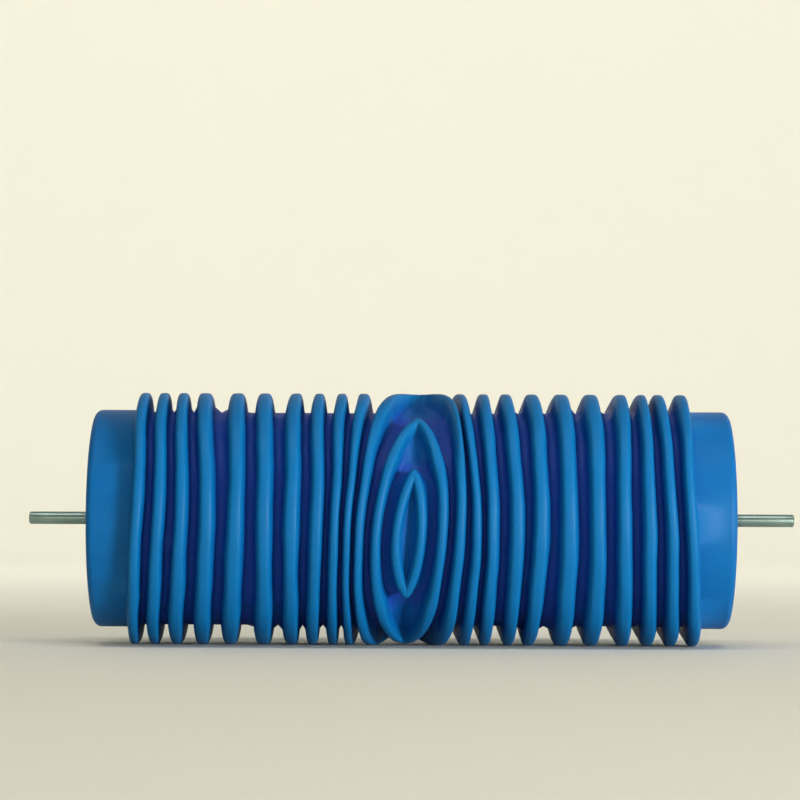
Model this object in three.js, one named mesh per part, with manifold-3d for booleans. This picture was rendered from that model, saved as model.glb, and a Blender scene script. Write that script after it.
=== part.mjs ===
// A wood-grain pattern roller: a rubber sleeve with raised grain, pulled over a rigid tube that turns on a steel rod.
// Millimetres, +Z up. The rod lies along +X, the origin is the middle of the roller on the rod's axis, and the eye
// of the grain faces -Y. Angles round the roller are in degrees: 0 at the front (-Y), 90 at the top (+Z).
import * as THREE from 'three';
import { mergeVertices } from 'three/addons/utils/BufferGeometryUtils.js';
import Module from 'manifold-3d';

const wasm = await Module();
wasm.setup();

// Driving sizes of the whole roller
const BARREL_LENGTH = 180;
const HALF_BARREL = BARREL_LENGTH / 2;
const AXLE_LENGTH = 218;
const AXLE_RADIUS = 1.8;
const FIT_GAP = 0.3;
const RUNNING_CLEARANCE = 0.06;
const ROUND_STEPS = 36;
const SMALL_ROUND_STEPS = 24;

// Rubber sleeve
const LAND_RADIUS = 30.75;
const GROOVE_RADIUS = 30.1;
const CREST_RADIUS = 35.75;
const SLEEVE_BORE = 27.5;
const END_ROUNDING = 2;
const RIDGE_BURIED = 1.1;

// A ridge is as wide as the gap beside it leaves room for, with a groove of at least a sixth of the gap
const HALF_WIDTH_PER_GAP = 0.31;
const HALF_WIDTH_ADDED = 0.3;
const WIDEST_HALF_WIDTH = 2.9;
const CROWN_SHARE = 0.62;
const FREE_RIDGE_GAP = 5;

// Rigid tube inside the sleeve
const TUBE_RADIUS = SLEEVE_BORE - FIT_GAP;
const TUBE_BORE = 24.7;

// Hubs, each with a dish in its outer face
const HUB_RADIUS = 9.9;
const DISH_RADIUS = 8;
const DISH_DEPTH = 4.2;

// Moulded end plugs: a flange, a spigot inside the tube, and a collar on ribs that holds the hub
const PLUG_FLANGE_THICKNESS = 2.4;
const SPIGOT_RADIUS = TUBE_BORE - FIT_GAP;
const SPIGOT_WALL = 2;
const PLUG_DEPTH = 14;
const COLLAR_BORE = HUB_RADIUS + FIT_GAP;
const COLLAR_WALL = 1.8;
const RIB_COUNT = 6;
const RIB_THICKNESS = 1.6;
const RIB_DEPTH = 12;

// Flanged bushes
const BUSH_RADIUS = 3.6;
const BUSH_FLANGE_RADIUS = 6;
const BUSH_FLANGE_THICKNESS = 1;
const BUSH_DEPTH = 13;

// Thrust washers and retaining clips on the rod
const WASHER_RADIUS = 4.6;
const WASHER_THICKNESS = 0.6;
const CLIP_THICKNESS = 0.7;
const CLIP_RADIUS = 3.8;
const CLIP_PRONG_RADIUS = 1.55;
const CLIP_RELIEF_RADIUS = 2.6;
const CLIP_SIDE_PLAY = 0.2;
const CLIP_GROOVE_RADIUS = 1.35;
const ROD_CHAMFER = 0.4;

// Grain lines that run all the way round: where each crest stands at the front, top, back and bottom
const GRAIN_LINES = [
  [-75.5, -76, -78, -78.5],
  [-69.5, -70.5, -73.5, -73],
  [-63.5, -65, -67.5, -66.5],
  [-56.5, -59, -59.5, -59],
  [-48.5, -49.5, -52.5, -51],
  [-40.5, -42, -43.5, -41.5],
  [-33, -33, -36, -33.5],
  [-26, -26.5, -29.5, -28],
  [-21, -20, -21.5, -22],
  [-17.5, -14, -14.5, -17.5],
  [18, 14, 7.5, 15],
  [22, 20.5, 15.5, 20.5],
  [29, 26.5, 22, 27.5],
  [35.5, 34, 28.5, 33],
  [43.5, 42, 37, 42.5],
  [51.5, 50.5, 45.5, 51],
  [58.5, 59.5, 52.5, 60],
  [65.5, 65.5, 60.5, 67],
  [71.5, 70, 67.5, 73.5],
  [77, 76.5, 72.5, 80],
];

// The eye: closed loops round one centre, which drifts sideways round the roller, and the two marks behind it.
// A bluntness below 1 rounds the loops' tips.
const EYE_ANGLE = -9;
const EYE_DRIFT = [-0.3, 2.2, -3.5, -2];
const EYE_LOOPS = [
  { halfWidth: 14, up: 104, down: 104, bluntness: 0.5 },
  { halfWidth: 9.2, up: 60, down: 70, bluntness: 0.75 },
  { halfWidth: 3.6, up: 30, down: 27, bluntness: 0.75 },
];
const CHEVRON_HALF_WIDTH = 6.5;
const CHEVRONS = [
  { arms: -148, point: -174 },
  { arms: -218, point: -192 },
];
const LOOP_STEP = 12;

const radians = THREE.MathUtils.degToRad;

// A smooth closed curve through four places a quarter turn apart. Over the top and the bottom it runs straight round.
function roundTheRoller([front, top, back, bottom], angle) {
  const a = radians(angle);
  const middle = (top + bottom) / 2;
  const tilt = ((top - bottom) / 2) * Math.sin(a);
  const forward = (front - middle) * Math.max(Math.cos(a), 0) ** 2;
  const backward = (back - middle) * Math.max(-Math.cos(a), 0) ** 2;
  return middle + tilt + forward + backward;
}

// A point of the sleeve: a place along the rod, an angle round it and a radius
function onSleeve(x, angle, radius) {
  return [x, -radius * Math.cos(radians(angle)), radius * Math.sin(radians(angle))];
}

// Crest places of one side of a closed loop of the eye, from its lower tip to its upper tip, closer near the tips
function loopSide({ halfWidth, up, down, bluntness }, side) {
  const places = [];
  const steps = Math.ceil((up + down) / LOOP_STEP);
  for (let step = 0; step <= steps; step++) {
    const share = Math.sin(radians(THREE.MathUtils.lerp(-90, 90, step / steps)));
    const angle = EYE_ANGLE + share * (share > 0 ? up : down);
    const reach = halfWidth * Math.max(1 - share * share, 0) ** bluntness;
    places.push([roundTheRoller(EYE_DRIFT, angle) + side * reach, angle]);
  }
  return places;
}

// One arm of a chevron, from its free end to the point
function chevronArm({ arms, point }, side) {
  const middle = roundTheRoller(EYE_DRIFT, point);
  return [[middle + side * CHEVRON_HALF_WIDTH, arms], [middle, point]];
}

// Rings of points joined into one closed skin: the last ring meets the first, or both ends are capped
function skin(rings, closed) {
  const size = rings[0].length;
  const faces = [];
  for (let i = 0; i < rings.length - (closed ? 0 : 1); i++) {
    const next = (i + 1) % rings.length;
    for (let j = 0; j < size; j++) {
      const after = (j + 1) % size;
      const [a, b, c, d] = [i * size + j, i * size + after, next * size + after, next * size + j];
      faces.push(a, b, c, a, c, d);
    }
  }
  if (!closed) {
    const last = (rings.length - 1) * size;
    for (let j = 1; j < size - 1; j++) {
      faces.push(0, j + 1, j, last, last + j, last + j + 1);
    }
  }
  const geometry = new THREE.BufferGeometry();
  geometry.setAttribute('position', new THREE.Float32BufferAttribute(rings.flat(2), 3));
  geometry.setIndex(faces);
  return toSolid(geometry);
}

function ridgeHalfWidth(gap) {
  return Math.min(HALF_WIDTH_PER_GAP * gap + HALF_WIDTH_ADDED, WIDEST_HALF_WIDTH);
}

// The sleeve's section at one angle, from the bore's left edge over the ridges to its right edge
function sleeveSection(angle) {
  const end = [0, 45, 90].map((turn) => [
    HALF_BARREL - END_ROUNDING * (1 - Math.cos(radians(turn))),
    LAND_RADIUS - END_ROUNDING * (1 - Math.sin(radians(turn))),
  ]);
  const crests = GRAIN_LINES.map((line) => roundTheRoller(line, angle));
  const ridges = crests.flatMap((crest, i) => {
    const before = ridgeHalfWidth(crest - (crests[i - 1] ?? -Infinity));
    const after = ridgeHalfWidth((crests[i + 1] ?? Infinity) - crest);
    return [
      [crest - before, i > 0 ? GROOVE_RADIUS : LAND_RADIUS],
      [crest - CROWN_SHARE * before, CREST_RADIUS],
      [crest + CROWN_SHARE * after, CREST_RADIUS],
      [crest + after, i < crests.length - 1 ? GROOVE_RADIUS : LAND_RADIUS],
    ];
  });
  return [
    [-HALF_BARREL, SLEEVE_BORE],
    ...end.map(([x, radius]) => [-x, radius]),
    ...ridges,
    ...end.toReversed(),
    [HALF_BARREL, SLEEVE_BORE],
  ];
}

// A short raised ridge along crest places, from one free end to the other
function freeRidge(places) {
  const flat = places.map(([x, angle]) => new THREE.Vector2(x, radians(angle) * CREST_RADIUS));
  const root = ridgeHalfWidth(FREE_RIDGE_GAP);
  const crown = CROWN_SHARE * root;
  const rings = places.map(([x, angle], i) => {
    const along = (flat[i + 1] ?? flat[i]).clone().sub(flat[i - 1] ?? flat[i]).normalize();
    const corner = (across, radius) => {
      const turn = THREE.MathUtils.radToDeg((-across * along.x) / CREST_RADIUS);
      return onSleeve(x + across * along.y, angle + turn, radius);
    };
    return [
      corner(-root, GROOVE_RADIUS - RIDGE_BURIED),
      corner(-crown, CREST_RADIUS),
      corner(crown, CREST_RADIUS),
      corner(root, GROOVE_RADIUS - RIDGE_BURIED),
    ];
  });
  return skin(rings, false);
}

function patternSleeve() {
  const rings = [];
  for (let step = 0; step < ROUND_STEPS; step++) {
    const angle = (step * 360) / ROUND_STEPS;
    rings.push(sleeveSection(angle).map(([x, radius]) => onSleeve(x, angle, radius)));
  }
  let sleeve = skin(rings, true);
  for (const side of [-1, 1]) {
    for (const loop of EYE_LOOPS) {
      sleeve = sleeve.add(freeRidge(loopSide(loop, side)));
    }
    for (const mark of CHEVRONS) {
      sleeve = sleeve.add(freeRidge(chevronArm(mark, side)));
    }
  }
  return toGeometry(sleeve);
}

// A solid turned about the rod's axis from [place along the rod, radius] corners, given in order from left to right
// over the outside and back along the bore
function turned(corners, steps = ROUND_STEPS) {
  const profile = corners.map(([x, radius]) => new THREE.Vector2(radius, x));
  return new THREE.LatheGeometry(profile, steps).rotateZ(-Math.PI / 2);
}

function ring(from, to, bore, radius, steps = ROUND_STEPS) {
  return turned([[from, bore], [from, radius], [to, radius], [to, bore], [from, bore]], steps);
}

function toSolid(geometry) {
  const bare = geometry.clone();
  bare.deleteAttribute('normal');
  bare.deleteAttribute('uv');
  const merged = mergeVertices(bare, 1e-4);
  const vertProperties = new Float32Array(merged.attributes.position.array);
  const triVerts = new Uint32Array(merged.index.array);
  return new wasm.Manifold(new wasm.Mesh({ numProp: 3, vertProperties, triVerts }));
}

function toGeometry(solid) {
  const { vertProperties, triVerts } = solid.getMesh();
  const geometry = new THREE.BufferGeometry();
  geometry.setAttribute('position', new THREE.BufferAttribute(new Float32Array(vertProperties), 3));
  geometry.setIndex(new THREE.BufferAttribute(new Uint32Array(triVerts), 1));
  return geometry;
}

// Right-hand end pieces: their places along the rod count from the end of the barrel, inwards negative
const DISH_FLOOR = -DISH_DEPTH;
const BUSH_FACE = DISH_FLOOR + FIT_GAP + BUSH_FLANGE_THICKNESS;
const WASHER_PLACE = BUSH_FACE + FIT_GAP;
const CLIP_PLACE = WASHER_PLACE + WASHER_THICKNESS + FIT_GAP;

function hub() {
  const bore = BUSH_RADIUS + FIT_GAP;
  return turned([
    [-PLUG_DEPTH, bore],
    [-PLUG_DEPTH, HUB_RADIUS],
    [0, HUB_RADIUS],
    [0, DISH_RADIUS],
    [DISH_FLOOR, DISH_RADIUS],
    [DISH_FLOOR, bore],
    [-PLUG_DEPTH, bore],
  ]);
}

function endPlug() {
  const collarRadius = COLLAR_BORE + COLLAR_WALL;
  let solid = toSolid(turned([
    [-PLUG_DEPTH, COLLAR_BORE],
    [-PLUG_DEPTH, collarRadius],
    [-PLUG_FLANGE_THICKNESS, collarRadius],
    [-PLUG_FLANGE_THICKNESS, SPIGOT_RADIUS - SPIGOT_WALL],
    [-PLUG_DEPTH, SPIGOT_RADIUS - SPIGOT_WALL],
    [-PLUG_DEPTH, SPIGOT_RADIUS],
    [-PLUG_FLANGE_THICKNESS, SPIGOT_RADIUS],
    [-PLUG_FLANGE_THICKNESS, TUBE_RADIUS],
    [0, TUBE_RADIUS],
    [0, COLLAR_BORE],
    [-PLUG_DEPTH, COLLAR_BORE],
  ]));
  const ribFrom = COLLAR_BORE + COLLAR_WALL / 2;
  const ribTo = SPIGOT_RADIUS - SPIGOT_WALL / 2;
  const ribTop = PLUG_FLANGE_THICKNESS / 2;
  for (let i = 0; i < RIB_COUNT; i++) {
    const rib = new THREE.BoxGeometry(RIB_DEPTH - ribTop, RIB_THICKNESS, ribTo - ribFrom);
    rib.translate(-(RIB_DEPTH + ribTop) / 2, 0, (ribFrom + ribTo) / 2);
    rib.rotateX((i * 2 * Math.PI) / RIB_COUNT);
    solid = solid.add(toSolid(rib));
  }
  return toGeometry(solid);
}

function bush() {
  const bore = AXLE_RADIUS + RUNNING_CLEARANCE;
  const flangeFrom = BUSH_FACE - BUSH_FLANGE_THICKNESS;
  return turned([
    [-BUSH_DEPTH, bore],
    [-BUSH_DEPTH, BUSH_RADIUS],
    [flangeFrom, BUSH_RADIUS],
    [flangeFrom, BUSH_FLANGE_RADIUS],
    [BUSH_FACE, BUSH_FLANGE_RADIUS],
    [BUSH_FACE, bore],
    [-BUSH_DEPTH, bore],
  ], SMALL_ROUND_STEPS);
}

function thrustWasher() {
  return ring(WASHER_PLACE, WASHER_PLACE + WASHER_THICKNESS, AXLE_RADIUS + FIT_GAP, WASHER_RADIUS, SMALL_ROUND_STEPS);
}

// E-clip: an open spring ring with three prongs that reach into the rod's groove
function retainingClip() {
  const outline = new THREE.Shape();
  outline.absarc(0, 0, CLIP_RADIUS, radians(40), radians(320), false);
  outline.absarc(0, 0, CLIP_PRONG_RADIUS, radians(320), radians(285), true);
  outline.absarc(0, 0, CLIP_RELIEF_RADIUS, radians(285), radians(215), true);
  outline.absarc(0, 0, CLIP_PRONG_RADIUS, radians(215), radians(145), true);
  outline.absarc(0, 0, CLIP_RELIEF_RADIUS, radians(145), radians(75), true);
  outline.absarc(0, 0, CLIP_PRONG_RADIUS, radians(75), radians(40), true);
  const settings = { depth: CLIP_THICKNESS, bevelEnabled: false, curveSegments: 8 };
  const geometry = new THREE.ExtrudeGeometry(outline, settings);
  return geometry.rotateY(Math.PI / 2).translate(CLIP_PLACE, 0, 0);
}

function axle() {
  const grooveFrom = HALF_BARREL + CLIP_PLACE - CLIP_SIDE_PLAY;
  const grooveTo = HALF_BARREL + CLIP_PLACE + CLIP_THICKNESS + CLIP_SIDE_PLAY;
  const half = [
    [grooveFrom, AXLE_RADIUS],
    [grooveFrom, CLIP_GROOVE_RADIUS],
    [grooveTo, CLIP_GROOVE_RADIUS],
    [grooveTo, AXLE_RADIUS],
    [AXLE_LENGTH / 2 - ROD_CHAMFER, AXLE_RADIUS],
    [AXLE_LENGTH / 2, AXLE_RADIUS - ROD_CHAMFER],
    [AXLE_LENGTH / 2, 0],
  ];
  const mirrored = half.map(([x, radius]) => [-x, radius]).reverse();
  return turned([...mirrored, ...half], SMALL_ROUND_STEPS);
}

const finish = (color, roughness, metalness = 0) => new THREE.MeshStandardMaterial({ color, roughness, metalness });
const blueRubber = finish(0x0b62ae, 0.5);
const bluePlastic = finish(0x1b4f94, 0.45);
const greyPlastic = finish(0x8f9599, 0.5);
const nylon = finish(0xe9e4d6, 0.4);
const zincSteel = finish(0xa9b0ae, 0.35, 1);
const springSteel = finish(0x55585c, 0.35, 1);

const roller = new THREE.Group();

function place(name, geometry, material, parent) {
  const mesh = new THREE.Mesh(geometry, material);
  mesh.name = name;
  parent.add(mesh);
}

place('axle', axle(), zincSteel, roller);
place('pattern_sleeve', patternSleeve(), blueRubber, roller);
const tubeHalf = HALF_BARREL - PLUG_FLANGE_THICKNESS - FIT_GAP;
place('core_tube', ring(-tubeHalf, tubeHalf, TUBE_BORE, TUBE_RADIUS), greyPlastic, roller);

// The left end is the right one turned end for end
for (const [side, turn] of [['right', 0], ['left', Math.PI]]) {
  const end = new THREE.Group();
  end.rotation.z = turn;
  end.position.x = HALF_BARREL * Math.cos(turn);
  place(`end_plug_${side}`, endPlug(), bluePlastic, end);
  place(`hub_${side}`, hub(), greyPlastic, end);
  place(`bush_${side}`, bush(), nylon, end);
  place(`thrust_washer_${side}`, thrustWasher(), zincSteel, end);
  place(`retaining_clip_${side}`, retainingClip(), springSteel, end);
  roller.add(end);
}

export default roller;
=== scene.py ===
# A wood-grain pattern roller: a blue rubber sleeve with raised grain lines on a rigid tube, which turns on
# a thin steel rod. The rod lies along X, the eye of the grain faces -Y, and angles round the roller are in
# degrees, 0 at the front and 90 at the top.
import math
from itertools import pairwise

import bmesh
import bpy
from mathutils import Matrix, Vector


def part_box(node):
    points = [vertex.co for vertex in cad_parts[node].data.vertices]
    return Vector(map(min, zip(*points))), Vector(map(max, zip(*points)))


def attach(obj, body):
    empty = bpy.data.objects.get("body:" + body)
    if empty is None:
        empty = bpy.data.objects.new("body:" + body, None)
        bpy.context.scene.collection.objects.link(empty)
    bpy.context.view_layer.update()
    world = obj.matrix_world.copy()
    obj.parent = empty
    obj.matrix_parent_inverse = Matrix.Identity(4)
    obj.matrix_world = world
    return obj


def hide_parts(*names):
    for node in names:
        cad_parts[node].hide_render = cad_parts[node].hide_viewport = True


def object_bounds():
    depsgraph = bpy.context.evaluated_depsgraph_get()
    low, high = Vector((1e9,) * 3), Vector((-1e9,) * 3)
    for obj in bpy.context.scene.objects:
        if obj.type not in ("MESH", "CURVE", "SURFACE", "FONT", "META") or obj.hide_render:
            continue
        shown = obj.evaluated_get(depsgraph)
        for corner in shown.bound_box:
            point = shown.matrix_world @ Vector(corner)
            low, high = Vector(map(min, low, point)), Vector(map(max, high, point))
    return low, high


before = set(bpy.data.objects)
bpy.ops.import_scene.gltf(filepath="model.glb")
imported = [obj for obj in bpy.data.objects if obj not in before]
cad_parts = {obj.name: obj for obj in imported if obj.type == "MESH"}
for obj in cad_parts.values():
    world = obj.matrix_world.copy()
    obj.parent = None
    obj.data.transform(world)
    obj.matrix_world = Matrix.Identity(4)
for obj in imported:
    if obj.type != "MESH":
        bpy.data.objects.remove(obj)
cad_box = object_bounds()

MM = 0.001
FULL_TURN = 360
HALF_TURN = 180
MERGE_DISTANCE = 0.001 * MM

# ----------------------------------------------------------------------------------------------------
# Sizes, from the frame
# ----------------------------------------------------------------------------------------------------
HALF_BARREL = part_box("pattern_sleeve")[1].x
CREST_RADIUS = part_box("pattern_sleeve")[1].z
TUBE_HALF_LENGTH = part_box("core_tube")[1].x
TUBE_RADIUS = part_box("core_tube")[1].z
AXLE_HALF_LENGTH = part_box("axle")[1].x
AXLE_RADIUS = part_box("axle")[1].z
PLUG_INNER_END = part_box("end_plug_right")[0].x
HUB_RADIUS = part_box("hub_right")[1].z
BUSH_INNER_END, BUSH_FACE = (corner.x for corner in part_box("bush_right"))
BUSH_FLANGE_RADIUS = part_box("bush_right")[1].z
WASHER_FROM, WASHER_TO = (corner.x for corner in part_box("thrust_washer_right"))
WASHER_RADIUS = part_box("thrust_washer_right")[1].z
CLIP_FROM, CLIP_TO = (corner.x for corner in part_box("retaining_clip_right"))
CLIP_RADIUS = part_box("retaining_clip_right")[1].z

# Sizes that the frame's boxes don't give
LAND_RADIUS = 30.75 * MM
GROOVE_RADIUS = 30.1 * MM
SLEEVE_BORE = 27.5 * MM
END_ROUNDING = 2 * MM
BORE_CHAMFER = 0.3 * MM
TUBE_BORE = 24.7 * MM
SPIGOT_RADIUS = 24.4 * MM
SPIGOT_WALL = 2 * MM
FLANGE_THICKNESS = 2.4 * MM
DISH_RADIUS = 8 * MM
DISH_DEPTH = 4.2 * MM
HUB_BORE = 3.9 * MM
HUB_GAP = 0.3 * MM
COLLAR_BORE = HUB_RADIUS + HUB_GAP
COLLAR_WALL = 1.8 * MM
RIB_COUNT = 6
RIB_THICKNESS = 1.6 * MM
RIB_DEPTH = 12 * MM
BUSH_RADIUS = 3.6 * MM
BUSH_PLAY = 0.06 * MM
BUSH_BORE = AXLE_RADIUS + BUSH_PLAY
BUSH_FLANGE_THICKNESS = 1 * MM
WASHER_PLAY = 0.3 * MM
WASHER_BORE = AXLE_RADIUS + WASHER_PLAY
CLIP_PRONG_RADIUS = 1.55 * MM
CLIP_RELIEF_RADIUS = 2.6 * MM
CLIP_GROOVE_RADIUS = 1.35 * MM
CLIP_SIDE_PLAY = 0.2 * MM

# Grain lines that run all the way round, in millimetres along the rod: where each crest stands at the
# front, top, back and bottom. Each side is listed from the eye outwards.
GRAIN_LEFT = [
    (-17.5, -14, -14.5, -17.5),
    (-21, -20, -21.5, -22),
    (-26, -26.5, -29.5, -28),
    (-33, -33, -36, -33.5),
    (-40.5, -42, -43.5, -41.5),
    (-48.5, -49.5, -52.5, -51),
    (-56.5, -59, -59.5, -59),
    (-63.5, -65, -67.5, -66.5),
    (-69.5, -70.5, -73.5, -73),
    (-75.5, -76, -78, -78.5),
]
GRAIN_RIGHT = [
    (18, 14, 7.5, 15),
    (22, 20.5, 15.5, 20.5),
    (29, 26.5, 22, 27.5),
    (35.5, 34, 28.5, 33),
    (43.5, 42, 37, 42.5),
    (51.5, 50.5, 45.5, 51),
    (58.5, 59.5, 52.5, 60),
    (65.5, 65.5, 60.5, 67),
    (71.5, 70, 67.5, 73.5),
    (77, 76.5, 72.5, 80),
]
# The eye: where its middle line stands at the front, top, back and bottom, and the angle of its centre
EYE_DRIFT = (-0.3, 2.2, -3.5, -2)
EYE_ANGLE = -9
# Its closed loops from the outside in: half width in millimetres, degrees to the upper and to the lower
# tip, and a bluntness that rounds the tips the more the further it is below 1
EYE_LOOPS = [(14, 104, 104, 0.5), (9.2, 60, 70, 0.75), (3.6, 30, 27, 0.75)]
# Two small marks behind the eye: degrees at which their arms start and at which they meet
CHEVRONS = [(-148, -174), (-218, -192)]
CHEVRON_HALF_WIDTH = 6.5

# The floor is raised along the eye's middle line, inside the smallest loop and just short of the tips of
# the others: degrees from the eye's centre at which each raised stretch starts and ends
EYE_HOLLOWS = [(-22, 24), (46, 57), (-66, -48), (84, 100), (-100, -86)]

# A ridge's half width is a share of the gap beside it and a little more, between two limits
WIDTH_PER_GAP = 0.31
WIDTH_ADDED = 0.3 * MM
NARROWEST_HALF_WIDTH = 1.1 * MM
WIDEST_HALF_WIDTH = 2.9 * MM
HALF_WIDTH_TO_LAND = 1.9 * MM

# Fineness of the sleeve's skin: its columns stand closest where a ridge's side is steepest, run a little way
# onto the land past the last ridges, and spread out again past the tips of a loop
ROWS_ROUND = 220
COLUMN_SHARES = (0, 0.3, 0.5, 0.63, 0.74, 0.83, 0.91, 1.0)
CLOSEST_CRESTS = 0.9 * MM
WIDEST_SHARE_OF_GAP = 0.46
FLANK_SPREAD = 1.1
SPREAD_PAST_TIPS = 2.5

# Degrees between the points of a line, and how far a line round the sleeve is carried on past the seam
LINE_STEP = 2
SEAM_OVERLAP = 20


# ----------------------------------------------------------------------------------------------------
# Small helpers
# ----------------------------------------------------------------------------------------------------
def add_node(tree, kind, inputs=None, **settings):
    """Adds a node. settings are its properties; inputs gives each socket a value or an output to link."""
    made = tree.nodes.new(kind)
    for name, value in settings.items():
        setattr(made, name, value)
    for key, value in (inputs or {}).items():
        socket = made.inputs[key]
        if isinstance(value, bpy.types.NodeSocket):
            tree.links.new(value, socket)
        else:
            socket.default_value = value
    return made


def colour(hex_code):
    """An sRGB hex colour as linear RGBA."""
    channels = [int(hex_code[i : i + 2], 16) / 255 for i in (0, 2, 4)]
    return (*[c / 12.92 if c <= 0.04045 else ((c + 0.055) / 1.055) ** 2.4 for c in channels], 1)


def new_object(name, vertices, faces, edges=()):
    """An object in the scene with a mesh of its own."""
    mesh = bpy.data.meshes.new(name)
    mesh.from_pydata([tuple(v) for v in vertices], edges, faces)
    made = bpy.data.objects.new(name, mesh)
    bpy.context.scene.collection.objects.link(made)
    return made


def settle(made):
    """The object's evaluated mesh becomes its own mesh, and its modifiers go."""
    depsgraph = bpy.context.evaluated_depsgraph_get()
    final = bpy.data.meshes.new_from_object(made.evaluated_get(depsgraph))
    made.modifiers.clear()
    made.data = final
    return made


def face_outwards(made, sharp_angle=35):
    """Merges doubles, points the faces outwards and shades smooth up to the sharp angle."""
    shape = bmesh.new()
    shape.from_mesh(made.data)
    bmesh.ops.remove_doubles(shape, verts=shape.verts, dist=MERGE_DISTANCE)
    bmesh.ops.recalc_face_normals(shape, faces=shape.faces)
    shape.to_mesh(made.data)
    shape.free()
    made.data.shade_smooth()
    made.data.set_sharp_from_angle(angle=math.radians(sharp_angle))
    return made


def finish_piece(made, body, node, material):
    """Gives a piece its material and slot and the body it moves with, and hides the node it stands for."""
    made.data.materials.clear()
    made.data.materials.append(material)
    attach(made, body)
    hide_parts(node)
    return made


# ----------------------------------------------------------------------------------------------------
# Grain layout on the sleeve laid out flat: x along the rod, y the way round at the crests' radius
# ----------------------------------------------------------------------------------------------------
LINE_SETS = ("First lines", "Second lines", "Hollows")


def round_the_roller(places, angle):
    """A smooth closed curve through four places a quarter turn apart, in metres. Over the top and the
    bottom it runs straight round."""
    front, top, back, bottom = (place * MM for place in places)
    a = math.radians(angle)
    middle = (top + bottom) / 2
    tilt = (top - bottom) / 2 * math.sin(a)
    forward = (front - middle) * max(math.cos(a), 0) ** 2
    backward = (back - middle) * max(-math.cos(a), 0) ** 2
    return middle + tilt + forward + backward


def flat_place(x, angle):
    """A place on the sleeve laid out flat."""
    return Vector((x, math.radians(angle) * CREST_RADIUS, 0))


def grain_line(places):
    """A line right round the sleeve, carried on past the seam so that both sides of it agree."""
    last = HALF_TURN + SEAM_OVERLAP
    return [flat_place(round_the_roller(places, a), a) for a in range(-last, last + 1, LINE_STEP)]


def loop_reach(loop, turn):
    """How far a loop's sides stand from its middle, at a turn from the eye's centre."""
    loop_half_width, up, down, bluntness = loop
    share = abs(turn) / (up if turn > 0 else down)
    return loop_half_width * MM * (1 - share**2) ** bluntness


def eye_loop(loop):
    """Up one side of a loop, down the other, and back to its first point."""
    up, down = loop[1:3]
    right, left = [], []
    for turn in [*range(-down, up, LINE_STEP), up]:
        angle = EYE_ANGLE + turn
        middle = round_the_roller(EYE_DRIFT, angle)
        reach = loop_reach(loop, turn)
        right.append(flat_place(middle + reach, angle))
        left.append(flat_place(middle - reach, angle))
    return right + left[::-1] + right[:1]


def chevron(arms, point):
    """A small pointed mark: two arms that start at one angle and meet at another."""
    middle = round_the_roller(EYE_DRIFT, point)
    reach = CHEVRON_HALF_WIDTH * MM
    return [flat_place(middle - reach, arms), flat_place(middle, point), flat_place(middle + reach, arms)]


def seam_copies(line):
    """A line, and the same line a turn on and a turn back, for lines that lie across the seam."""
    turn = Vector((0, 2 * math.pi * CREST_RADIUS, 0))
    return [[place + turn * count for place in line] for count in (-1, 0, 1)]


def line_object(name, lines):
    """Lines as the loose edges of one object, for geometry nodes to measure distances from."""
    vertices, edges = [], []
    for line in lines:
        start = len(vertices)
        vertices += line
        edges += pairwise(range(start, start + len(line)))
    return new_object(name, vertices, [], edges)


def grain_line_objects():
    """The crest lines in two sets, so that the two lines on either side of a groove are in different sets,
    and the middles of the eye's hollows."""
    sets = [[], []]
    for side in (GRAIN_LEFT, GRAIN_RIGHT):
        for i, places in enumerate(side):
            sets[i % 2].append(grain_line(places))
    for i, loop in enumerate(EYE_LOOPS):
        sets[(i + 1) % 2] += seam_copies(eye_loop(loop))
    for mark in CHEVRONS:
        sets[1] += seam_copies(chevron(*mark))
    hollows = []
    for start, end in EYE_HOLLOWS:
        angles = range(EYE_ANGLE + start, EYE_ANGLE + end + 1, LINE_STEP)
        hollows += seam_copies([flat_place(round_the_roller(EYE_DRIFT, a), a) for a in angles])
    return [line_object(name, lines) for name, lines in zip(LINE_SETS, [*sets, hollows])]


def half_width(gap):
    """How far a ridge reaches to each side of its crest, with the next crest a gap away."""
    return min(max(WIDTH_PER_GAP * gap + WIDTH_ADDED, NARROWEST_HALF_WIDTH), WIDEST_HALF_WIDTH)


def eye_crests(angle, left, right):
    """Where columns crowd between the two lines beside the eye: on the sides of each loop, and spread
    evenly past its tips."""
    middle = round_the_roller(EYE_DRIFT, angle)
    turn = (angle - EYE_ANGLE + HALF_TURN) % FULL_TURN - HALF_TURN
    spread = (right - left) / 2
    reach = 0
    reaches = []
    for i, loop in enumerate(reversed(EYE_LOOPS)):
        share = abs(turn) / loop[1 if turn > 0 else 2]
        even = spread * (i + 1) / (len(EYE_LOOPS) + 1)
        wanted = loop_reach(loop, turn) if share < 1 else even * min(1, (share - 1) * SPREAD_PAST_TIPS)
        reach = max(wanted, reach + CLOSEST_CRESTS)
        reaches.append(reach)
    before = [middle - reach for reach in reversed(reaches)]
    after = [middle + reach for reach in reaches]
    return [*before, middle, *after]


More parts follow.
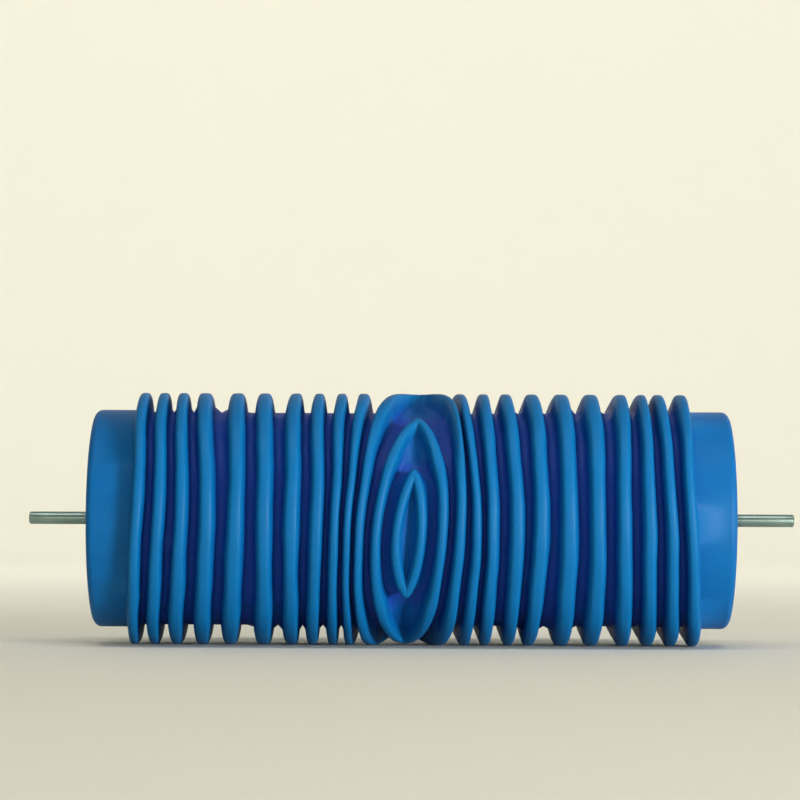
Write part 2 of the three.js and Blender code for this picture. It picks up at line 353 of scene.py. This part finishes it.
def sleeve_section(angle):
    """(place along the rod, radius without ridges) at one angle: bore edge, end, land, grooves, land, end
    and bore edge. The columns between two grain lines follow them."""
    left, right = ([round_the_roller(p, angle) for p in side] for side in (GRAIN_LEFT, GRAIN_RIGHT))
    crests = [*reversed(left), *eye_crests(angle, left[0], right[0]), *right]
    end = [(HALF_BARREL - BORE_CHAMFER, SLEEVE_BORE), (HALF_BARREL, SLEEVE_BORE + BORE_CHAMFER)]
    for turn in range(0, 91, 18):
        a = math.radians(turn)
        x = HALF_BARREL - END_ROUNDING * (1 - math.cos(a))
        end.append((x, LAND_RADIUS - END_ROUNDING * (1 - math.sin(a))))
    flank = [share * HALF_WIDTH_TO_LAND * FLANK_SPREAD for share in COLUMN_SHARES[1:]]
    columns = [(crests[0] - reach, LAND_RADIUS) for reach in reversed(flank)]
    for crest, following in pairwise(crests):
        gap = following - crest
        reaches = [share * min(half_width(gap), gap * WIDEST_SHARE_OF_GAP) for share in COLUMN_SHARES]
        columns += [(crest + reach, GROOVE_RADIUS) for reach in reaches]
        columns.append(((crest + following) / 2, GROOVE_RADIUS))
        columns += [(following - reach, GROOVE_RADIUS) for reach in reversed(reaches[1:])]
    columns.append((crests[-1], GROOVE_RADIUS))
    columns += [(crests[-1] + reach, LAND_RADIUS) for reach in flank]
    left_end = [(-x, radius) for x, radius in end]
    return [*left_end, *columns, *reversed(end)]


def sleeve_sheet():
    """The sleeve's skin cut open at the back and laid flat. Its closing rows meet when it is wrapped."""
    vertices, radii = [], []
    for row in range(ROWS_ROUND + 1):
        angle = -HALF_TURN + FULL_TURN * row / ROWS_ROUND
        section = sleeve_section(angle)
        vertices += [flat_place(x, angle) for x, _ in section]
        radii += [radius for _, radius in section]
    count = len(section)
    faces = []
    for row in range(ROWS_ROUND):
        here, following = row * count, (row + 1) * count
        for i in range(count):
            after = (i + 1) % count
            faces.append((here + i, here + after, following + after, following + i))
    sheet = new_object("pattern_sleeve_rubber", vertices, faces)
    base = sheet.data.attributes.new("base_radius", "FLOAT", "POINT")
    base.data.foreach_set("value", radii)
    return sheet


# ----------------------------------------------------------------------------------------------------
# Ridged sleeve: geometry nodes raise a ridge along every grain line and wrap the sheet round the rod
# ----------------------------------------------------------------------------------------------------
SLEEVE_INPUTS = {
    "Crest radius": CREST_RADIUS,
    "Groove radius": GROOVE_RADIUS,
    "Groove tolerance": 0.05 * MM,
    "Width per gap": WIDTH_PER_GAP,
    "Width added": WIDTH_ADDED,
    "Narrowest half width": NARROWEST_HALF_WIDTH,
    "Widest half width": WIDEST_HALF_WIDTH,
    "Half width to land": HALF_WIDTH_TO_LAND,
    "Narrowing in the eye": 0.7,
    "Narrowing start": 2.5 * MM,
    "Narrowing reach": 13 * MM,
    "Width unevenness": 0.35,
    "Unevenness length": 17 * MM,
    "Fullness": 4.8,
    "Foot": 1.05,
    "Hollow reach": 9 * MM,
    "Hollow slope length": 5.5 * MM,
    "Hollow height": 0.72,
    "Hollow blend": 0.12,
    # Hollow tone and Land tone set how much of the painted groove shade the eye's hollows, and the land and
    # ends, are spared
    "Hollow tone": 0.6,
    "Land tone": 0.7,
    "Sway": 1.6 * MM,
    "Sway length": 30 * MM,
    "Swayed half length": 79 * MM,
    "Still half length": 85 * MM,
    "Weld distance": 0.002 * MM,
    "Seed": 3.0,
}


def ridged_sleeve_tree(rubber):
    """Geometry nodes that turn the flat sheet into the sleeve, from the crest lines and SLEEVE_INPUTS."""
    tree = bpy.data.node_groups.new("ridged_sleeve", "GeometryNodeTree")
    tree.interface.new_socket("Sheet", in_out="INPUT", socket_type="NodeSocketGeometry")
    for name in LINE_SETS:
        tree.interface.new_socket(name, in_out="INPUT", socket_type="NodeSocketObject")
    for name in SLEEVE_INPUTS:
        tree.interface.new_socket(name, in_out="INPUT", socket_type="NodeSocketFloat")
    tree.interface.new_socket("Sleeve", in_out="OUTPUT", socket_type="NodeSocketGeometry")
    given = add_node(tree, "NodeGroupInput").outputs

    def maths(operation, *values, clamp=False):
        inputs = dict(enumerate(values))
        return add_node(tree, "ShaderNodeMath", inputs, operation=operation, use_clamp=clamp).outputs[0]

    def wrap(along, angle, radius):
        return add_node(tree, "ShaderNodeCombineXYZ", {
            "X": along,
            "Y": maths("MULTIPLY", maths("MULTIPLY", maths("COSINE", angle), radius), -1.0),
            "Z": maths("MULTIPLY", maths("SINE", angle), radius),
        }).outputs[0]

    flat = add_node(tree, "GeometryNodeInputPosition").outputs[0]
    place = add_node(tree, "ShaderNodeSeparateXYZ", {0: flat})
    along = place.outputs["X"]
    angle = maths("DIVIDE", place.outputs["Y"], given["Crest radius"])
    on_crest = wrap(along, angle, given["Crest radius"])

    def unevenness(length):
        """Smooth seeded noise about 0, read on the wrapped surface so that it meets at the seam."""
        noise = add_node(tree, "ShaderNodeTexNoise", {
            "Vector": on_crest, "W": given["Seed"], "Scale": maths("DIVIDE", 1.0, length), "Detail": 1.0,
        }, noise_dimensions="4D")
        return maths("SUBTRACT", noise.outputs[0], 0.5)

    distances = []
    for name in LINE_SETS:
        lines = add_node(tree, "GeometryNodeObjectInfo", {"Object": given[name]}).outputs["Geometry"]
        distances.append(add_node(tree, "GeometryNodeProximity", {
            "Geometry": lines, "Sample Position": flat,
        }, target_element="EDGES").outputs["Distance"])
    first, second, to_hollow = distances
    nearest = maths("MINIMUM", first, second)
    gap = maths("ADD", first, second)

    base = add_node(tree, "GeometryNodeInputNamedAttribute", {
        "Name": "base_radius",
    }, data_type="FLOAT").outputs[0]
    off_groove = maths("ABSOLUTE", maths("SUBTRACT", base, given["Groove radius"]))
    on_land = maths("GREATER_THAN", off_groove, given["Groove tolerance"])

    # A ridge's section: flat on top, steep at the sides, and a small flare at the foot
    wanted = maths("MULTIPLY_ADD", gap, given["Width per gap"], given["Width added"])
    widest = add_node(tree, "ShaderNodeMix", {
        0: on_land, 2: given["Widest half width"], 3: given["Half width to land"],
    }).outputs[0]
    bounded = maths("MINIMUM", maths("MAXIMUM", wanted, given["Narrowest half width"]), widest)
    uneven = unevenness(given["Unevenness length"])
    wobble = maths("MULTIPLY_ADD", uneven, given["Width unevenness"], 1.0)
    narrowing = add_node(tree, "ShaderNodeMapRange", {
        "Value": to_hollow, "From Min": given["Narrowing start"], "From Max": given["Narrowing reach"],
        "To Min": given["Narrowing in the eye"], "To Max": 1.0,
    }).outputs[0]
    half_width_here = maths("MULTIPLY", maths("MULTIPLY", bounded, wobble), narrowing)
    share = maths("DIVIDE", nearest, half_width_here, clamp=True)
    ridge = maths("POWER", maths("SUBTRACT", 1.0, maths("POWER", share, given["Fullness"])), given["Foot"])

    # In the eye's hollows the ridge's side runs down slowly instead
    near_hollow = add_node(tree, "ShaderNodeMapRange", {
        "Value": to_hollow, "From Min": 0.0, "From Max": given["Hollow reach"],
        "To Min": given["Hollow height"], "To Max": 0.0,
    }, interpolation_type="SMOOTHSTEP").outputs[0]
    slope = maths("SUBTRACT", 1.0, maths("DIVIDE", nearest, given["Hollow slope length"], clamp=True))
    hollow = maths("MULTIPLY", near_hollow, slope)
    height = maths("MINIMUM", maths("SMOOTH_MAX", ridge, hollow, given["Hollow blend"]), 1.0)

    radius = maths("MULTIPLY_ADD", maths("SUBTRACT", given["Crest radius"], base), height, base)
    still = add_node(tree, "ShaderNodeMapRange", {
        "Value": maths("ABSOLUTE", along), "From Min": given["Swayed half length"],
        "From Max": given["Still half length"], "To Min": given["Sway"], "To Max": 0.0,
    }, interpolation_type="SMOOTHSTEP").outputs[0]
    swayed = maths("MULTIPLY_ADD", unevenness(given["Sway length"]), still, along)
    # Tone for the painted shade in the rubber: the grooves get the full painted shade, the smooth land and
    # the ends get little, so they are nearly as light as a crest, and the eye's hollows get less than a
    # groove
    land_tone = maths("MULTIPLY", on_land, given["Land tone"])
    hollow_tone = maths("MULTIPLY", near_hollow, given["Hollow tone"])
    tone = maths("MAXIMUM", height, maths("MAXIMUM", land_tone, hollow_tone))
    marked = add_node(tree, "GeometryNodeStoreNamedAttribute", {
        "Geometry": given["Sheet"], "Name": "ridge_height", "Value": tone,
    }, data_type="FLOAT", domain="POINT")
    raised = add_node(tree, "GeometryNodeSetPosition", {
        "Geometry": marked.outputs[0], "Position": wrap(swayed, angle, radius),
    })
    welded = add_node(tree, "GeometryNodeMergeByDistance", {
        "Geometry": raised.outputs[0], "Distance": given["Weld distance"],
    })
    smooth = add_node(tree, "GeometryNodeSetShadeSmooth", {"Geometry": welded.outputs[0]})
    real = add_node(tree, "GeometryNodeRealizeInstances", {"Geometry": smooth.outputs[0]})
    done = add_node(tree, "GeometryNodeSetMaterial", {"Geometry": real.outputs[0], "Material": rubber})
    add_node(tree, "NodeGroupOutput", {0: done.outputs[0]})
    return tree


def make_sleeve(rubber):
    """The sheet with its ridges raised and wrapped round the rod, as one plain mesh."""
    sheet = sleeve_sheet()
    line_sets = grain_line_objects()
    tree = ridged_sleeve_tree(rubber)
    modifier = sheet.modifiers.new("ridges", "NODES")
    modifier.node_group = tree
    identifiers = {s.name: s.identifier for s in tree.interface.items_tree if s.in_out == "INPUT"}
    for name, lines in zip(LINE_SETS, line_sets):
        modifier[identifiers[name]] = lines
    for name, value in SLEEVE_INPUTS.items():
        modifier[identifiers[name]] = value
    sleeve = settle(sheet)
    for lines in line_sets:
        bpy.data.objects.remove(lines)
    shape = bmesh.new()
    shape.from_mesh(sleeve.data)
    bmesh.ops.recalc_face_normals(shape, faces=shape.faces)
    shape.to_mesh(sleeve.data)
    shape.free()
    return finish_piece(sleeve, "barrel", "pattern_sleeve", rubber)


# ----------------------------------------------------------------------------------------------------
# Turned pieces
# ----------------------------------------------------------------------------------------------------
MOST_OF_SIDE = 0.45


def soften(corners, radius, steps=3):
    """A closed outline with each corner rounded, or as much as its shorter side allows."""
    outline = []
    for i, corner in enumerate(corners):
        here = Vector(corner)
        before = Vector(corners[i - 1]) - here
        after = Vector(corners[(i + 1) % len(corners)]) - here
        reach = min(radius, before.length * MOST_OF_SIDE, after.length * MOST_OF_SIDE)
        start, end = here + before.normalized() * reach, here + after.normalized() * reach
        for step in range(steps + 1):
            t = step / steps
            outline.append(start * (1 - t) ** 2 + here * (2 * t * (1 - t)) + end * t**2)
    return outline


def turned(name, outline, steps=96):
    """A closed outline of (place along the rod, radius) turned about the rod's axis."""
    vertices, faces = [], []
    for row in range(steps):
        a = 2 * math.pi * row / steps
        vertices += [(x, -radius * math.cos(a), radius * math.sin(a)) for x, radius in outline]
    count = len(outline)
    for row in range(steps):
        here, following = row * count, (row + 1) % steps * count
        for i in range(count):
            after = (i + 1) % count
            on_axis = max(outline[i][1], outline[after][1]) < MERGE_DISTANCE
            if not on_axis:
                faces.append((here + i, here + after, following + after, following + i))
    return face_outwards(new_object(name, vertices, faces))


def mirrored(outline, side):
    """A right-hand outline for the side it is wanted on, 1 for right and -1 for left."""
    return [(side * x, radius) for x, radius in outline]


def joined(parts):
    """The parts united into one closed body, which keeps the first part's name."""
    whole = parts[0]
    for part in parts[1:]:
        union = whole.modifiers.new("join", "BOOLEAN")
        union.operation = "UNION"
        union.solver = "EXACT"
        union.object = part
    settle(whole)
    for part in parts[1:]:
        bpy.data.objects.remove(part)
    return face_outwards(whole)


def make_rod(steel):
    """The rod with chamfered ends and a groove for each clip."""
    chamfer = 0.4 * MM
    groove_from, groove_to = CLIP_FROM - CLIP_SIDE_PLAY, CLIP_TO + CLIP_SIDE_PLAY
    half = [
        (groove_from, AXLE_RADIUS),
        (groove_from, CLIP_GROOVE_RADIUS),
        (groove_to, CLIP_GROOVE_RADIUS),
        (groove_to, AXLE_RADIUS),
        (AXLE_HALF_LENGTH - chamfer, AXLE_RADIUS),
        (AXLE_HALF_LENGTH, AXLE_RADIUS - chamfer),
    ]
    outline = [(-AXLE_HALF_LENGTH, 0), *mirrored(half, -1)[::-1], *half, (AXLE_HALF_LENGTH, 0)]
    # The outline's two ends stay square on the axis
    body = soften(outline[1:-1], radius=0.08 * MM, steps=2)
    rod = turned("steel_rod", [outline[0], *body, outline[-1]], steps=64)
    return finish_piece(rod, "axle", "axle", steel)


def make_core_tube(plastic):
    """The rigid tube that the sleeve is pulled over."""
    outline = [
        (-TUBE_HALF_LENGTH, TUBE_BORE),
        (-TUBE_HALF_LENGTH, TUBE_RADIUS),
        (TUBE_HALF_LENGTH, TUBE_RADIUS),
        (TUBE_HALF_LENGTH, TUBE_BORE),
    ]
    tube = turned("core_tube_plastic", soften(outline, radius=0.3 * MM))
    return finish_piece(tube, "barrel", "core_tube", plastic)


def make_hub(side, side_name, plastic):
    """A plain barrel of plastic with a dish in its outer face, bored for the bush."""
    dish_floor = HALF_BARREL - DISH_DEPTH
    outline = [
        (PLUG_INNER_END, HUB_BORE),
        (PLUG_INNER_END, HUB_RADIUS),
        (HALF_BARREL, HUB_RADIUS),
        (HALF_BARREL, DISH_RADIUS),
        (dish_floor, DISH_RADIUS),
        (dish_floor, HUB_BORE),
    ]
    hub = turned(f"hub_{side_name}_moulding", mirrored(soften(outline, radius=0.35 * MM), side))
    return finish_piece(hub, "barrel", f"hub_{side_name}", plastic)


def make_end_plug(side, side_name, plastic):
    """A flange that closes the tube, a spigot in the tube and a collar round the hub, tied by ribs."""
    collar_radius = COLLAR_BORE + COLLAR_WALL
    flange_back = HALF_BARREL - FLANGE_THICKNESS
    outline = [
        (PLUG_INNER_END, COLLAR_BORE),
        (PLUG_INNER_END, collar_radius),
        (flange_back, collar_radius),
        (flange_back, SPIGOT_RADIUS - SPIGOT_WALL),
        (PLUG_INNER_END, SPIGOT_RADIUS - SPIGOT_WALL),
        (PLUG_INNER_END, SPIGOT_RADIUS),
        (flange_back, SPIGOT_RADIUS),
        (flange_back, TUBE_RADIUS),
        (HALF_BARREL, TUBE_RADIUS),
        (HALF_BARREL, COLLAR_BORE),
    ]
    plug = turned(f"end_plug_{side_name}_moulding", mirrored(soften(outline, radius=0.5 * MM), side))
    low, high = COLLAR_BORE + COLLAR_WALL / 2, SPIGOT_RADIUS - SPIGOT_WALL / 2
    start, end = HALF_BARREL - FLANGE_THICKNESS / 2, HALF_BARREL - RIB_DEPTH
    ribs = []
    for i in range(RIB_COUNT):
        corners = [
            (side * x, y, z)
            for x in (start, end)
            for y in (-RIB_THICKNESS / 2, RIB_THICKNESS / 2)
            for z in (low, high)
        ]
        quads = [(0, 1, 3, 2), (4, 6, 7, 5), (0, 4, 5, 1), (2, 3, 7, 6), (0, 2, 6, 4), (1, 5, 7, 3)]
        rib = new_object("rib", corners, quads)
        rib.data.transform(Matrix.Rotation(2 * math.pi * i / RIB_COUNT, 4, "X"))
        ribs.append(face_outwards(rib))
    plug = joined([plug, *ribs])
    return finish_piece(plug, "barrel", f"end_plug_{side_name}", plastic)


def make_bush(side, side_name, nylon):
    """A flanged bush, pressed into the hub."""
    flange_from = BUSH_FACE - BUSH_FLANGE_THICKNESS
    outline = [
        (BUSH_INNER_END, BUSH_BORE),
        (BUSH_INNER_END, BUSH_RADIUS),
        (flange_from, BUSH_RADIUS),
        (flange_from, BUSH_FLANGE_RADIUS),
        (BUSH_FACE, BUSH_FLANGE_RADIUS),
        (BUSH_FACE, BUSH_BORE),
    ]
    bush = turned(f"bush_{side_name}_nylon", mirrored(soften(outline, radius=0.2 * MM), side), steps=64)
    return finish_piece(bush, "barrel", f"bush_{side_name}", nylon)


def make_washer(side, side_name, steel):
    """A plain washer between the bush and the clip."""
    outline = [
        (WASHER_FROM, WASHER_BORE),
        (WASHER_FROM, WASHER_RADIUS),
        (WASHER_TO, WASHER_RADIUS),
        (WASHER_TO, WASHER_BORE),
    ]
    softened = mirrored(soften(outline, radius=0.12 * MM), side)
    washer = turned(f"thrust_washer_{side_name}_steel", softened, steps=64)
    return finish_piece(washer, "axle", f"thrust_washer_{side_name}", steel)


def make_clip(side, side_name, steel):
    """E-clip: an open ring with three prongs, stamped from spring steel."""
    arcs = [
        (CLIP_RADIUS, 40, 320),
        (CLIP_PRONG_RADIUS, 320, 285),
        (CLIP_RELIEF_RADIUS, 285, 215),
        (CLIP_PRONG_RADIUS, 215, 145),
        (CLIP_RELIEF_RADIUS, 145, 75),
        (CLIP_PRONG_RADIUS, 75, 40),
    ]
    outline = []
    for radius, start, end in arcs:
        steps = max(4, abs(end - start) // 8)
        for step in range(steps + 1):
            a = math.radians(start + (end - start) * (step / steps))
            outline.append((side * radius * math.sin(a), radius * math.cos(a)))
    count = len(outline)
    vertices = [(side * x, y, z) for x in (CLIP_FROM, CLIP_TO) for y, z in outline]
    faces = [tuple(range(count)), tuple(range(2 * count - 1, count - 1, -1))]
    faces += [(i, (i + 1) % count, count + (i + 1) % count, count + i) for i in range(count)]
    clip = face_outwards(new_object(f"retaining_clip_{side_name}_steel", vertices, faces))
    edge = clip.modifiers.new("edge", "BEVEL")
    edge.width = 0.06 * MM
    edge.segments = 2
    settle(clip)
    return finish_piece(clip, "axle", f"retaining_clip_{side_name}", steel)


# ----------------------------------------------------------------------------------------------------
# Materials
# ----------------------------------------------------------------------------------------------------
def new_material(name):
    """A material with an empty node tree, and the tree."""
    material = bpy.data.materials.new(name)
    material.use_nodes = True
    material.node_tree.nodes.clear()
    return material, material.node_tree


def surface(tree, shader):
    """Ends a material's tree with its shader."""
    add_node(tree, "ShaderNodeOutputMaterial", {"Surface": shader.outputs[0]})


def moulded_rubber():
    """Silicone rubber, compression moulded from a hand-cut master: satin and soft-looking, with painted
    shade that makes it darker and more indigo down in the grooves."""
    material, tree = new_material("moulded_blue_rubber")
    place = add_node(tree, "ShaderNodeTexCoord").outputs["Object"]
    height = add_node(tree, "ShaderNodeAttribute", attribute_name="ridge_height").outputs["Fac"]
    # Painted shade: the ramp runs from an indigo groove colour through a darker blue to the crest's blue,
    # darkening the rubber down in the grooves where shade falls
    groove_shade_ramp = add_node(tree, "ShaderNodeValToRGB", {"Fac": height})
    tones = groove_shade_ramp.color_ramp.elements
    tones[0].color = colour("1b45a4")
    tones[1].color = colour("006ca8")
    tones[1].position = 0.9
    tones.new(0.3).color = colour("0056a2")
    mottle = add_node(tree, "ShaderNodeTexNoise", {"Vector": place, "Scale": 1 / (9 * MM), "Detail": 3.0})
    bloom = add_node(tree, "ShaderNodeValToRGB", {"Fac": mottle.outputs["Fac"]})
    bloom.color_ramp.elements[0].color = colour("dfe8ee")
    bloom.color_ramp.elements[1].color = colour("ffffff")
    base = add_node(tree, "ShaderNodeMix", {
        "Factor": 1.0, 6: groove_shade_ramp.outputs["Color"], 7: bloom.outputs["Color"],
    }, data_type="RGBA", blend_type="MULTIPLY")
    # The mould's own grain is finer than this, and is drawn coarser so that it shows
    grain = add_node(tree, "ShaderNodeTexNoise", {"Vector": place, "Scale": 1 / (0.7 * MM), "Detail": 4.0})
    bump = add_node(tree, "ShaderNodeBump", {
        "Height": grain.outputs["Fac"], "Distance": 0.03 * MM, "Strength": 0.6,
    })
    roughness = add_node(tree, "ShaderNodeMapRange", {
        "Value": mottle.outputs["Fac"], "To Min": 0.46, "To Max": 0.58,
    })
    shader = add_node(tree, "ShaderNodeBsdfPrincipled", {
        "Base Color": base.outputs[2], "Roughness": roughness.outputs[0], "Normal": bump.outputs[0],
        "IOR": 1.43, "Specular IOR Level": 0.22,
    })
    surface(tree, shader)
    return material


def drawn_steel():
    """Mild steel rod, cold drawn and zinc plated: bright, with fine lines along its length."""
    material, tree = new_material("drawn_zinc_plated_steel")
    place = add_node(tree, "ShaderNodeTexCoord").outputs["Object"]
    # The die's lines are finer than this, and are drawn coarser so that they show
    stretched = add_node(tree, "ShaderNodeMapping", {"Vector": place, "Scale": (0.04, 1, 1)})
    lines = add_node(tree, "ShaderNodeTexNoise", {
        "Vector": stretched.outputs[0], "Scale": 1 / (0.25 * MM), "Detail": 3.0,
    })
    cloud = add_node(tree, "ShaderNodeTexNoise", {"Vector": place, "Scale": 1 / (4 * MM), "Detail": 2.0})
    tint = add_node(tree, "ShaderNodeValToRGB", {"Fac": cloud.outputs["Fac"]})
    tint.color_ramp.elements[0].color = colour("7a9288")
    tint.color_ramp.elements[1].color = colour("a8bdb6")
    bump = add_node(tree, "ShaderNodeBump", {
        "Height": lines.outputs["Fac"], "Distance": 0.01 * MM, "Strength": 0.5,
    })
    roughness = add_node(tree, "ShaderNodeMapRange", {
        "Value": lines.outputs["Fac"], "To Min": 0.26, "To Max": 0.42,
    })
    shader = add_node(tree, "ShaderNodeBsdfPrincipled", {
        "Base Color": tint.outputs["Color"], "Metallic": 1.0, "Roughness": roughness.outputs[0],
        "Normal": bump.outputs[0],
    })
    surface(tree, shader)
    return material


def moulded_plastic(name, dark, light, roughness_range, grain=0.4 * MM):
    """Moulded or extruded plastic: nearly even in colour, with the fine grain that the tool leaves."""
    material, tree = new_material(name)
    place = add_node(tree, "ShaderNodeTexCoord").outputs["Object"]
    cloud = add_node(tree, "ShaderNodeTexNoise", {"Vector": place, "Scale": 1 / (12 * MM), "Detail": 2.0})
    tint = add_node(tree, "ShaderNodeValToRGB", {"Fac": cloud.outputs["Fac"]})
    tint.color_ramp.elements[0].color = colour(dark)
    tint.color_ramp.elements[1].color = colour(light)
    # The tool's grain is finer than this, and is drawn coarser so that it shows
    texture = add_node(tree, "ShaderNodeTexNoise", {"Vector": place, "Scale": 1 / grain, "Detail": 2.0})
    bump = add_node(tree, "ShaderNodeBump", {
        "Height": texture.outputs["Fac"], "Distance": 0.02 * MM, "Strength": 0.5,
    })
    roughness = add_node(tree, "ShaderNodeMapRange", {
        "Value": cloud.outputs["Fac"], "To Min": roughness_range[0], "To Max": roughness_range[1],
    })
    shader = add_node(tree, "ShaderNodeBsdfPrincipled", {
        "Base Color": tint.outputs["Color"], "Roughness": roughness.outputs[0], "Normal": bump.outputs[0],
        "IOR": 1.5,
    })
    surface(tree, shader)
    return material


def oiled_spring_steel():
    """Hardened strip steel, blackened and oiled: dark, with a soft sheen."""
    material, tree = new_material("oiled_spring_steel")
    place = add_node(tree, "ShaderNodeTexCoord").outputs["Object"]
    cloud = add_node(tree, "ShaderNodeTexNoise", {"Vector": place, "Scale": 1 / (1.5 * MM), "Detail": 3.0})
    tint = add_node(tree, "ShaderNodeValToRGB", {"Fac": cloud.outputs["Fac"]})
    tint.color_ramp.elements[0].color = colour("4b4e52")
    tint.color_ramp.elements[1].color = colour("6d7075")
    shader = add_node(tree, "ShaderNodeBsdfPrincipled", {
        "Base Color": tint.outputs["Color"], "Metallic": 1.0, "Roughness": 0.34,
    })
    surface(tree, shader)
    return material


# ----------------------------------------------------------------------------------------------------
# Stage, lights and camera
# ----------------------------------------------------------------------------------------------------
def make_stage():
    """A pale floor that turns up into a wall all the way round, far outside the camera's circle."""
    floor_z = cad_box[0][2]
    flat_radius, bend, wall_height = 1.6, 0.8, 1.2
    outline = [(0.0, floor_z), (flat_radius, floor_z)]
    for turn in range(6, 91, 6):
        a = math.radians(turn)
        outline.append((flat_radius + bend * math.sin(a), floor_z + bend * (1 - math.cos(a))))
    outline.append((flat_radius + bend, floor_z + bend + wall_height))
    steps = 96
    count = len(outline)
    vertices, faces = [], []
    for row in range(steps):
        a = 2 * math.pi * row / steps
        vertices += [(radius * math.cos(a), radius * math.sin(a), z) for radius, z in outline]
        here, following = row * count, (row + 1) % steps * count
        faces += [(here + i, here + i + 1, following + i + 1, following + i) for i in range(count - 1)]
    floor = face_outwards(new_object("pale_floor", vertices, faces))
    material, tree = new_material("pale_paper")
    shader = add_node(tree, "ShaderNodeBsdfPrincipled", {"Base Color": colour("f4f1e2"), "Roughness": 0.9})
    surface(tree, shader)
    floor.data.materials.append(material)


def area_light(name, place, size, power, aim=(0, 0, 0)):
    """A rectangular light at a place, turned towards its aim."""
    data = bpy.data.lights.new(name, "AREA")
    data.shape = "RECTANGLE"
    data.size, data.size_y = size
    data.energy = power
    light = bpy.data.objects.new(name, data)
    light.location = place
    light.rotation_euler = (Vector(aim) - Vector(place)).to_track_quat("-Z", "Y").to_euler()
    bpy.context.scene.collection.objects.link(light)


def make_lights():
    """A key light level on the right, a weak fill in front, and a light each for the wall and the floor."""
    area_light("key", (0.85, -0.85, 0.05), size=(0.35, 0.25), power=17)
    area_light("fill_front", (0.1, -1.5, 0.0), size=(0.8, 0.3), power=2.5)
    area_light("wall", (0, 0.9, 1.3), size=(2.0, 0.8), power=17, aim=(0, 2.2, 0.2))
    area_light("floor_front", (0, -0.5, 1.5), size=(1.4, 0.4), power=9, aim=(0, -0.55, 0))
    world = bpy.data.worlds.new("soft_studio")
    world.use_nodes = True
    world.node_tree.nodes["Background"].inputs["Color"].default_value = colour("f4f6fa")
    world.node_tree.nodes["Background"].inputs["Strength"].default_value = 0.11
    bpy.context.scene.world = world
    bpy.context.scene.view_settings.view_transform = "Standard"


def make_camera():
    """Level with the rod and square to it, about 0.9 m away, with the roller low in the picture."""
    distance = 0.89
    data = bpy.data.cameras.new("camera")
    data.sensor_width = 36
    data.lens = 140.3
    camera = bpy.data.objects.new("camera", data)
    bpy.context.scene.collection.objects.link(camera)
    turn_up, turn_left, roll = math.radians(2.19), math.radians(0.22), math.radians(0.25)
    camera.matrix_world = (
        Matrix.Translation((0, -distance, 0))
        @ Matrix.Rotation(turn_left, 4, "Z")
        @ Matrix.Rotation(math.pi / 2 + turn_up, 4, "X")
        @ Matrix.Rotation(roll, 4, "Z")
    )
    bpy.context.scene.camera = camera


# ----------------------------------------------------------------------------------------------------
# Everything, in order
# ----------------------------------------------------------------------------------------------------
make_camera()
rubber = moulded_rubber()
steel = drawn_steel()
clip_steel = oiled_spring_steel()
plug_plastic = moulded_plastic("moulded_blue_plastic", "184a8c", "1d5499", roughness_range=(0.38, 0.46))
tube_plastic = moulded_plastic("extruded_grey_plastic", "858b8f", "969ca0", roughness_range=(0.4, 0.5))
bush_nylon = moulded_plastic(
    "moulded_nylon", "e4decd", "efeadd", roughness_range=(0.34, 0.42), grain=0.6 * MM
)

make_sleeve(rubber)
make_core_tube(tube_plastic)
make_rod(steel)
for side, side_name in ((1, "right"), (-1, "left")):
    make_end_plug(side, side_name, plug_plastic)
    make_hub(side, side_name, tube_plastic)
    make_bush(side, side_name, bush_nylon)
    make_washer(side, side_name, steel)
    make_clip(side, side_name, clip_steel)

make_stage()
make_lights()
